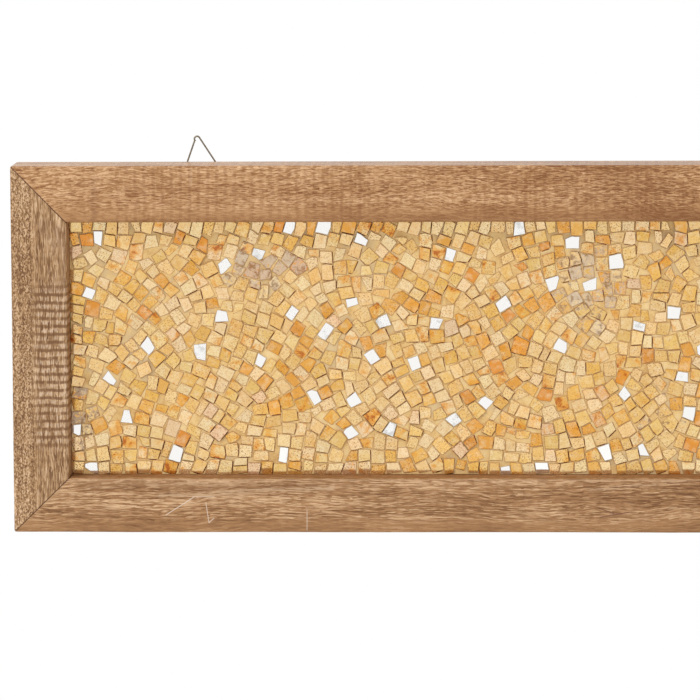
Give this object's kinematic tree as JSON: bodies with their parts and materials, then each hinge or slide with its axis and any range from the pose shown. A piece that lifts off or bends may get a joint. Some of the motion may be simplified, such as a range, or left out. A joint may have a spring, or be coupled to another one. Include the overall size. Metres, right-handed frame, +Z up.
{
  "type": "framed mosaic wall panel",
  "caption": "Long wall panel: a mitred wooden frame around a sunk field of small yellow glass and mirror tesserae, hung by wire rings on straps at its back.",
  "frame": {"origin": "middle of the panel's flat back, in the plane of the frame's rear faces that meets the wall", "axes": "+X to the viewer's right along the panel, +Y out of the back towards the wall, +Z up; the mosaic faces -Y"},
  "size_m": [1.2, 0.0496, 0.3266],
  "materials": {
    "frame_wood": "waxed hardwood of a kind not identified, mid brown, light sheen, saw marks left in the stiles",
    "fibreboard": "raw fibreboard, matt",
    "gold_glass": "glossy tesserae in yellows and oranges with darker specks, taken for lacquered glass by their looks",
    "mirror_glass": "clear mirror tesserae",
    "grout": "matt tan cement grout",
    "plated_steel": "zinc-plated sheet and screw",
    "steel_wire": "drawn bright wire"
  },
  "bodies": {
    "panel": {"top_rail": "frame_wood", "bottom_rail": "frame_wood", "left_stile": "frame_wood", "right_stile": "frame_wood", "backing_board": "fibreboard", "mosaic_field": "gold_glass", "left_hanger_strap": "plated_steel", "right_hanger_strap": "plated_steel", "left_strap_screw": "plated_steel", "right_strap_screw": "plated_steel"},
    "left_ring": {"left_hanging_ring": "steel_wire"},
    "right_ring": {"right_hanging_ring": "steel_wire"}
  },
  "joints": [
    {"name": "left_ring_swing", "type": "hinge", "parent": "panel", "child": "left_ring", "pos_m": [-0.443, 0.00245, 0.1395], "axis": [-1, 0, 0], "range_deg": [-5, 180]},
    {"name": "right_ring_swing", "type": "hinge", "parent": "panel", "child": "right_ring", "pos_m": [0.443, 0.00245, 0.1395], "axis": [-1, 0, 0], "range_deg": [-5, 180]}
  ]
}
